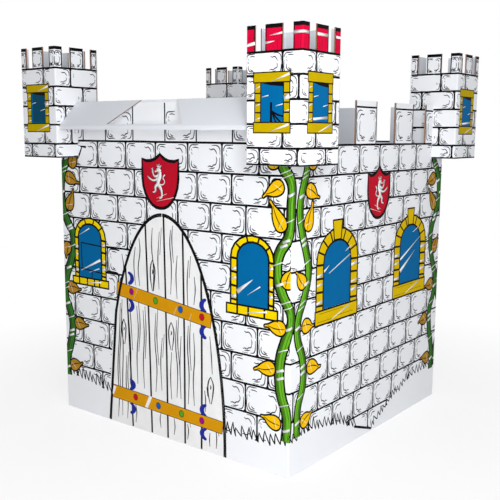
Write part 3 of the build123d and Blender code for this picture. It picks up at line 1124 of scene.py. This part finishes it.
# %% Side wall places
SIDE_COURSES = [970.6 - 89.1 * i for i in range(12)]
SIDE_PHASES = (10, -21, 55)
SIDE_GROUND = [
    (-486, 97), (-400, 118), (-290, 104), (-220, 90), (-150, 62), (-107, 47), (5, 8), (75, 41),
    (145, 76), (208, 90), (250, 114), (425, 125), (486, 120),
]
SIDE_EDGE = HALF_DEPTH / MM + 4
SIDE_TEETH = [(-SIDE_EDGE, -248), (-151, -18), (105, 238), (334, SIDE_EDGE)]

SIDE_VINE_LEFT = [
    (-414, 940), (-411, 912), (-429, 860), (-446, 797), (-432, 720), (-411, 664), (-397, 608),
    (-415, 538), (-446, 475), (-450, 419), (-422, 349), (-418, 272), (-443, 202), (-446, 115),
]
SIDE_VINE_LEFT_LEAVES = [
    ((-384, 924), (-376, 975)), ((-394, 842), (-352, 818)), ((-402, 748), (-380, 804)),
    ((-430, 580), (-456, 614)), ((-405, 446), (-368, 438)), ((-376, 316), (-329, 303)),
    ((-406, 156), (-368, 172)),
]
SIDE_VINE_RIGHT = [
    (418, 940), (421, 912), (453, 867), (470, 804), (456, 727), (421, 664), (414, 608), (439, 531),
    (467, 468), (456, 405), (428, 349), (432, 279), (456, 195), (456, 112),
]
SIDE_VINE_RIGHT_LEAVES = [
    ((416, 844), (366, 830)), ((428, 750), (388, 806)), ((450, 588), (478, 624)),
    ((427, 448), (380, 446)), ((385, 322), (340, 318)), ((418, 164), (372, 174)),
]

SIDE_SHINES = (
    [((0.2, 0.52), (0.97, 0.74), 2, 5), ((0.02, 0.56), (0.2, 0.64), 8, 2), ((0.78, 0.8), (1.0, 0.87), 1, 5)],
    [((0.02, 0.42), (0.97, 0.76), 9, 2), ((0.03, 0.22), (0.74, 0.54), 14, 1),
     ((0.6, 0.86), (0.9, 0.94), 2, 4)],
)
print(len(SIDE_COURSES) - 1, "rows of blocks on a side wall")


# %% [markdown]
# ### The side walls' drawing
# The vines of the front and back walls cross the corners, so each is drawn a second time here, moved by the
# way from one wall's middle to the next one's. The part of it that lies on this wall then shows.

# %% Side wall drawing
CORNER = (HALF_WIDTH + HALF_DEPTH) / MM


def side_walls_drawing(teeth):
    """The print on the right wall and on the left one."""
    drawing = {}
    mortar, sketch = brickwork(
        SIDE_COURSES, 130.5, SIDE_PHASES, -SIDE_EDGE, SIDE_EDGE, SIDE_GROUND, flip=-1, small=0.95
    )
    put(drawing, "black", 1, mortar)
    put(drawing, "sketch", 1, sketch)
    foot = SIDE_COURSES[0]
    put(drawing, "black", 2, [pen([(-SIDE_EDGE, foot), (SIDE_EDGE, foot)], 6.0, soft=False)])
    battlement(drawing, teeth, foot + 3, WALL_TOP / MM, -1)
    near_shines, far_shines = SIDE_SHINES
    window(drawing, (-317, -159.5, 480, 620, 685), (-355.5, -117.5, 722), (-359, -114, 433, 477), 8, "gold",
           near_shines, keystone=(-268, -214, 685, 746))
    window(drawing, (173, 329, 484, 622, 688.5), (131, 370, 722), (127.5, 375, 436.5, 482), 8, "gold",
           far_shines, keystone=(221, 273, 688, 746))
    shield(drawing, 8.5, 879.6, 900.6, 732, 73, -1)
    # Vines with near=False are in shade and take darker inks as painted shade.
    vine(drawing, moved(VINE_RIGHT, -CORNER), [], 28, near=True)
    vine(drawing, moved(VINE_LEFT, CORNER), [], 28, near=False)
    vine(drawing, SIDE_VINE_LEFT, SIDE_VINE_LEFT_LEAVES, 25, near=True)
    vine(drawing, SIDE_VINE_RIGHT, SIDE_VINE_RIGHT_LEAVES, 25, near=False)
    grass(drawing, SIDE_GROUND, -SIDE_EDGE, -112)
    grass(drawing, SIDE_GROUND, 5, SIDE_EDGE, tall=34)
    put(drawing, "black", 3, [pen([(-112, 48), (5, 7)], 8.0, soft=False)])
    return drawing


# %% [markdown]
# ### Printing the side walls
# The left wall has the right wall's print, and its teeth are the same ones seen from the other side.

# %% Print the side walls
right_ends = ((HALF_DEPTH - FOLD, True), (HALF_DEPTH, False))
left_ends = ((HALF_DEPTH - FOLD, True), (HALF_DEPTH - TAB - FOLD, True))
lay("right_wall", "right", (0, 0), HALF_WIDTH, right_ends, side_walls_drawing(SIDE_TEETH))
lay("left_wall", "left", (0, 0), HALF_WIDTH, left_ends, side_walls_drawing(mirrored(SIDE_TEETH)))
print(len(printed), "inks on sheets so far")

# %% [markdown]
# ## Turrets
# The brickwork runs on round the turret's corners, so each face starts where the last one stopped. Faces
# that look away from the castle have a square window. Faces that the walls pass through are printed in two
# halves, one each side of the slot. Only the near corner's teeth are red.

# %% Turret places
TURRET_COURSES = [1217.5, 1156, 1092, 1029, 965, 919]
TURRET_FLAT = TURRET_HALF - FOLD
TURRET_EDGE = TURRET_HALF / MM + 2
TURRET_RUN = 2 * (TURRET_FLAT + FOLD * math.pi / 4) / MM  # round the turret, from face to face
TURRET_TOP = turret_high.z / MM
TEETH = [(-TURRET_EDGE, -62), (-28, 28), (62, TURRET_EDGE)]
SLOT_HALF = 3.5
NO_GROUND = [(-100, 0), (100, 0)]
RED_STRIPES = {  # for each turn: one list of stripes for each tooth, as two ends and two widths
    0: [[(-95, 1236, -62, 1241, 9, 9)], [(-14, 1258, 27, 1263, 1, 6), (-28, 1240, 2, 1243, 7, 1)],
        [(62, 1262, 95, 1262, 8, 8)]],
    1: [[(-95, 1262, -64, 1262, 8, 8)], [(-26, 1262, 26, 1262, 8, 8)], [(66, 1262, 95, 1262, 7, 7)]],
}
print("a turret face takes", round(TURRET_RUN, 1), "mm of brickwork")

# %% [markdown]
# ### Turret windows
# These are plain frames: a lintel, a sill and two jambs with three joints each. A black wedge under the
# lintel is its shadow, and in one window a deeper blue hides most of the pane.

# %% A turret's window
def turret_window(drawing, turn, dark):
    """A square window: a pane, two jambs of four stones, a lintel and a sill."""
    lintel = [(-66, 1137.5), (54, 1137.5), (55, 1164), (-66, 1164)]
    sill = [(-66, 1005.5), (55.5, 1005.5), (55.5, 1033), (-66, 1033)]
    pane = [(-42, 1033), (33, 1033), (33, 1137.5), (-42, 1137.5)]
    left = [(-62, 1033), (-42, 1033), (-42, 1137.5), (-62, 1137.5)]
    right = [(33, 1033), (53, 1033), (53, 1137.5), (33, 1137.5)]
    put(drawing, "blue", 2, shapes=[shape(pane)])
    if dark:
        shade = [(-34, 1036), (33, 1036), (33, 1137), (-34, 1137)]
        put(drawing, "deep_blue", 3, shapes=[shape(shade)])
    put(drawing, "mustard", 2, shapes=[shape(p) for p in (lintel, sill, left, right)])
    outlines = [pen(p, 4.6, soft=False, closed=True) for p in (lintel, sill, left, right)]
    joints = [pen([(u, v), (u + 20, v)], 3.8) for u in (-62, 33) for v in (1110, 1085, 1059)]
    put(drawing, "black", 3, outlines + joints)
    put(drawing, "black", 4, shapes=[shape([(-42, 1137), (33, 1137), (33, 1126), (-10, 1130)])])
    shines = [[(-14, 1008), (50, 1028)], [(-6, 1140), (51, 1158)]]
    put(drawing, "white", 4, [pen(line, (1, 7), soft=False) for line in shines[: 2 - turn % 2]])
    glints = [[(-60, 1122), (-44, 1128)], [(-60, 1076), (-44, 1082)], [(-60, 1040), (-44, 1045)],
              [(36, 1062), (52, 1066)], [(-38, 1100), (-16, 1104)], [(8, 1076), (31, 1081)]]
    put(drawing, "white", 5, [pen(line, 4.6, soft=False, taper=0.5) for line in glints])
    broad = [(34, 1096), (52, 1101)] if turn % 2 == 0 else [(-40, 1042), (30, 1047)]
    put(drawing, "white", 5, [pen(broad, 13.0 if turn % 2 == 0 else 7.0, soft=False)])


# %% [markdown]
# ### Turret teeth
# Each tooth has a black cap. On the near turret the rest is red, with white bars, and on the others it is a
# small block.

# %% A turret's tooth
def tooth_print(drawing, turn, number, red):
    """One tooth of a turret: its cap, its sides, and red ink or sketch lines."""
    head = TURRET_COURSES[0]
    left, right = TEETH[number]
    low, high = TURRET_TOP - 11, TURRET_TOP - 0.6
    cap = [(left, low), (right, low), (right, high), (left, high)]
    put(drawing, "black", 3, shapes=[shape(cap)])
    for u in (left + 2, right - 2):
        if abs(u) < TURRET_FLAT / MM:
            put(drawing, "black", 3, [pen([(u, head), (u, TURRET_TOP - 2)], 3.8, soft=False)])
    if not red:
        strokes = block_strokes(left, right, head + 4, TURRET_TOP - 12, 1, 0.5)
        put(drawing, "sketch", 1, [pen(stroke, 2.6, taper=0.5) for stroke in strokes])
        return
    field = [(left, head), (right, head), (right, TURRET_TOP - 9), (left, TURRET_TOP - 9)]
    put(drawing, "turret_red", 2, shapes=[shape(field)])
    grain = [[(left + share * (right - left), head + a), (left + share * (right - left) + 1, head + b)]
             for share, a, b in ((0.25, 6, 22), (0.45, 8, 40), (0.7, 4, 30), (0.8, 28, 50))]
    put(drawing, "black", 3, [pen(line, 1.4, soft=False, taper=0.4) for line in grain])
    for u0, v0, u1, v1, w0, w1 in RED_STRIPES.get(turn, RED_STRIPES[1])[number]:
        put(drawing, "white", 4, [pen([(u0, v0), (u1, v1)], (w0, w1), soft=False)])


# %% [markdown]
# ### Turret bricks
# Four faces in a row make one long wall, so each face's blocks start where the last face's stopped. The ink
# stops at both sides of a slot, and one line bridges it at its top.

# %% A turret's bricks
def turret_bricks(drawing, turn, slotted):
    """The brickwork of one face, in two halves below the top of a slot."""
    phases = [p - turn * TURRET_RUN for p in (29, 80, 3)]
    spans = [(-TURRET_EDGE, TURRET_EDGE)]
    if slotted:
        spans = [(-TURRET_EDGE, -SLOT_HALF), (SLOT_HALF, TURRET_EDGE)]
        bridge = [(-SLOT_HALF - 2, TURRET_COURSES[1]), (SLOT_HALF + 2, TURRET_COURSES[1])]
        put(drawing, "black", 1, [pen(bridge, MORTAR)])
    for low, high in spans:
        mortar, sketch = brickwork(TURRET_COURSES, 125, phases, low, high, NO_GROUND, small=0.78)
        put(drawing, "black", 1, mortar)
        put(drawing, "sketch", 1, sketch)
        foot = TURRET_COURSES[-1] + 1.5
        put(drawing, "black", 2, [pen([(low, foot), (high, foot)], 4.6, soft=False)])


# %% [markdown]
# ### One face of a turret
# Everything comes together here. One window also has a dark stalk with three branches in it.

# %% One face of a turret
def turret_drawing(turn, window_here, red, slotted, dark):
    """One face of a turret. turn counts the faces round it, from the front one."""
    drawing = {}
    turret_bricks(drawing, turn, slotted)
    for number in range(len(TEETH)):
        tooth_print(drawing, turn, number, red)
    head = TURRET_COURSES[0]
    put(drawing, "black", 3, [pen([(-TURRET_EDGE, head), (TURRET_EDGE, head)], 5.2, soft=False)])
    if window_here:
        turret_window(drawing, turn, dark)
    if window_here and red and turn == 0:
        stalk = [(-7, 1034), (-7, 1086)]
        long_branch, low_branch = [(-5, 1063), (12, 1054), (32, 1049)], [(-5, 1060), (9, 1034)]
        branches = [long_branch, low_branch, [(-5, 1061), (10, 1046), (24, 1034)]]
        put(drawing, "black", 5, [pen(stalk, 7.0), *[pen(line, 5.2, taper=0.8) for line in branches]])
    return drawing


# %% [markdown]
# ### Printing the turrets
# The four turrets are the same sheet, so one loop prints them all. A face that looks away from the castle is
# an outer one. The turret's own name says which two those are.

# %% Print the turrets
turret_ends = ((TURRET_FLAT, True),) * 2
for front_name, front_sign in (("front", -1), ("back", 1)):
    for side_name, side_sign in (("left", -1), ("right", 1)):
        sheet = f"{front_name}_{side_name}_turret"
        centre = (side_sign * TURRET_X, front_sign * TURRET_Y)
        for turn, face in enumerate(FACE_TURNS):
            outer = face in (front_name, side_name)
            is_red = sheet == "front_right_turret"
            is_dark = sheet == "front_left_turret" and face == "front"
            drawing = turret_drawing(turn, outer, is_red, not outer, is_dark)
            lay(sheet + "_print", face, centre, TURRET_HALF, turret_ends, drawing)
print(len(printed), "inks on sheets in all")

# %% [markdown]
# ## Joining the colours
# A press prints each colour in one pass, and the pieces end the same way: one for each colour on a sheet.

# %% Join each colour and let it ride
for (sheet, ink), films in printed.items():
    bpy.ops.object.select_all(action="DESELECT")
    for piece in films:
        piece.select_set(True)
    bpy.context.view_layer.objects.active = films[0]
    if len(films) > 1:
        bpy.ops.object.join()
    piece = bpy.context.view_layer.objects.active
    piece.name = f"{sheet}_{ink}"
    piece.data.materials.clear()
    piece.data.materials.append(inks[ink])
    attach(piece, "root")
    print(piece.name, len(piece.data.polygons), "faces")

# %% [markdown]
# ## Floor and light
# The castle stands on a plain white floor under a pale sky. Both show as plain white to the camera only,
# because white board on a grey ground looks dirty. Light Path says what kind of ray has met a surface.

# %% What the camera sees
def seen(tree):
    """1 where the camera sees a surface, straight or in a reflection."""
    path = add(tree, "ShaderNodeLightPath").outputs
    either = calc(tree, "MAXIMUM", path["Is Camera Ray"], path["Is Glossy Ray"])
    return calc(tree, "MAXIMUM", either, path["Is Transmission Ray"])


# %% [markdown]
# ### Floor
# Near the castle the floor is part paper and part its own light, which keeps a soft shadow. Beyond it, the
# floor fades to the white of the background, so no horizon shows.

# %% Floor
FADE_PER_METRE = 1.1
FADE_HELD_BACK = 0.9  # so that the fade starts a little over 0.8 m from the middle

bpy.ops.mesh.primitive_plane_add(size=60, location=(0, 0, -0.0005))
floor = bpy.context.object
floor.name = "studio_floor"
floor_paper = bpy.data.materials.new("studio_floor_paper")
floor_paper.use_nodes = True
tree = floor_paper.node_tree
shader = tree.nodes["Principled BSDF"]
shader.inputs["Base Color"].default_value = colour("#FBFBFC")
shader.inputs["Roughness"].default_value = 0.9
paper = add(tree, "ShaderNodeBsdfDiffuse", {"Color": colour("#949496")}).outputs[0]
own_light = add(tree, "ShaderNodeEmission", {"Color": colour("#FFFFFF"), "Strength": 0.73}).outputs[0]
near = add(tree, "ShaderNodeAddShader", {0: paper, 1: own_light}).outputs[0]
far = add(tree, "ShaderNodeEmission", {"Color": colour("#FFFFFF"), "Strength": 1.0}).outputs[0]
place = add(tree, "ShaderNodeTexCoord").outputs["Object"]
away = add(tree, "ShaderNodeVectorMath", {0: place}, operation="LENGTH").outputs["Value"]
fade = calc(tree, "SUBTRACT", calc(tree, "MULTIPLY", away, FADE_PER_METRE), FADE_HELD_BACK)
fade = calc(tree, "MINIMUM", calc(tree, "MAXIMUM", fade, 0.0), 1.0)
shown = add(tree, "ShaderNodeMixShader", {0: fade, 1: near, 2: far}).outputs[0]
lit = shader.outputs[0]
both = add(tree, "ShaderNodeMixShader", {0: seen(tree), 1: lit, 2: shown}).outputs[0]
tree.links.new(both, tree.nodes["Material Output"].inputs["Surface"])
floor.data.materials.append(floor_paper)
print("floor fades over", round(1 / FADE_PER_METRE, 2), "m")

# %% [markdown]
# ### Sky
# The sky lights the shadows from all round. It is a little darker overhead, as in a studio with white walls.

# %% Sky
SKY = 0.45
OVERHEAD_DIM = 0.35

world = bpy.data.worlds.new("studio")
bpy.context.scene.world = world
world.use_nodes = True
sky = world.node_tree
direction = add(sky, "ShaderNodeSeparateXYZ", {0: add(sky, "ShaderNodeTexCoord").outputs["Generated"]})
overhead = calc(sky, "MAXIMUM", direction.outputs["Z"], 0.0)
dimmed = calc(sky, "SUBTRACT", 1.0, calc(sky, "MULTIPLY", overhead, OVERHEAD_DIM))
lit = calc(sky, "MULTIPLY", SKY, dimmed)
camera_sees = seen(sky)
hidden = calc(sky, "MULTIPLY", calc(sky, "SUBTRACT", 1.0, camera_sees), lit)
background = sky.nodes["Background"]
background.inputs["Color"].default_value = colour("#FFFFFF")
sky.links.new(calc(sky, "ADD", camera_sees, hidden), background.inputs["Strength"])
print("sky", SKY)

# %% [markdown]
# ### Lamps
# A broad key lamp stands in front of the near corner, so the walls fall off a little towards their far ends.
# A higher one reaches over the wall tops into the castle, and a weak one behind keeps its back from going
# grey. All three are large, because large lamps make soft shadows.

# %% Lamps
def soft_lamp(name, place, size, power):
    """A broad lamp aimed at the middle of the castle."""
    bpy.ops.object.light_add(type="AREA", location=place)
    lamp = bpy.context.object
    lamp.name = name
    lamp.data.size = size
    lamp.data.energy = power
    lamp.rotation_euler = (Vector((0, 0, 0.6)) - Vector(place)).to_track_quat("-Z", "Y").to_euler()
    print(name, power, "W")


soft_lamp("key_lamp", (1.75, -2.05, 1.2), 1.1, 34)
soft_lamp("high_lamp", (1.9, -1.3, 2.3), 1.0, 12)
soft_lamp("back_lamp", (-1.8, 2.1, 1.5), 1.6, 16)

bpy.context.scene.view_settings.view_transform = "Standard"  # whites stay white
